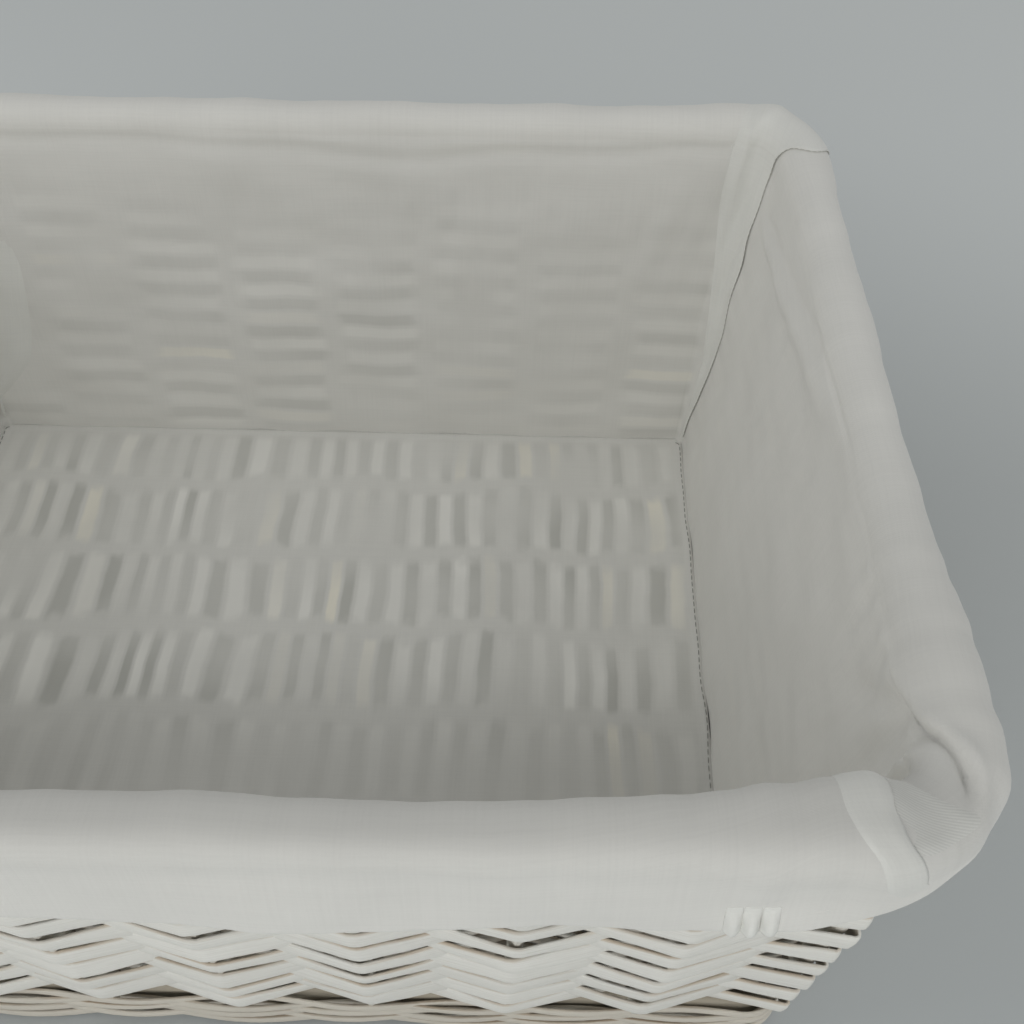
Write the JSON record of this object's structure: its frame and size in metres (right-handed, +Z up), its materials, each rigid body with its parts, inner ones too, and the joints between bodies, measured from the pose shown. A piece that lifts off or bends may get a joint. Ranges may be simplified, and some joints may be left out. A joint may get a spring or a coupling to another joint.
{
  "type": "woven storage basket",
  "caption": "Shallow rectangular basket of white-painted woven willow with flared walls and a lift-out cotton lining turned over the rim.",
  "frame": {"origin": "centre of the basket's footprint, on the surface it stands on", "axes": "+X along the length to the right, +Y to the back, +Z up"},
  "size_m": [0.399, 0.3252, 0.165],
  "materials": {
    "painted_willow": "thin white paint over split willow",
    "stake_willow": "thin white paint over round willow rods",
    "raw_willow": "bare split willow, lightly whitened",
    "cotton": "plain woven off-white cotton"
  },
  "bodies": {
    "basket": {"foot_border": "raw_willow", "floor_stick_1": "stake_willow", "floor_stick_2": "stake_willow", "floor_stick_3": "stake_willow", "floor_stick_4": "stake_willow", "floor_stick_5": "stake_willow", "floor_stick_6": "stake_willow", "floor_weave_upper": "painted_willow", "floor_weave_lower": "painted_willow", "corner_post_front_left": "stake_willow", "corner_post_front_right": "stake_willow", "corner_post_back_right": "stake_willow", "corner_post_back_left": "stake_willow", "stakes_front": "stake_willow", "stakes_back": "stake_willow", "stakes_left": "stake_willow", "stakes_right": "stake_willow", "weave_course_01": "painted_willow", "weave_course_02": "painted_willow", "weave_course_03": "painted_willow", "weave_course_04": "painted_willow", "weave_course_05": "painted_willow", "weave_course_06": "painted_willow", "weave_course_07": "painted_willow", "weave_course_08": "painted_willow", "weave_course_09": "painted_willow", "weave_course_10": "painted_willow", "weave_course_11": "painted_willow", "weave_course_12": "painted_willow", "weave_course_13": "painted_willow", "weave_course_14": "painted_willow", "weave_course_15": "painted_willow", "weave_course_16": "painted_willow", "weave_course_17": "painted_willow", "weave_course_18": "painted_willow", "weave_course_19": "painted_willow", "weave_course_20": "painted_willow"},
    "lining": {"lining_floor": "cotton", "lining_wall_front": "cotton", "lining_wall_back": "cotton", "lining_wall_left": "cotton", "lining_wall_right": "cotton", "lining_corner_front_left": "cotton", "lining_corner_front_right": "cotton", "lining_corner_back_right": "cotton", "lining_corner_back_left": "cotton"}
  },
  "joints": [
    {"name": "lining_lift", "type": "slide", "parent": "basket", "child": "lining", "axis": [0, 0, 1], "range_m": [0, 0.2]}
  ]
}
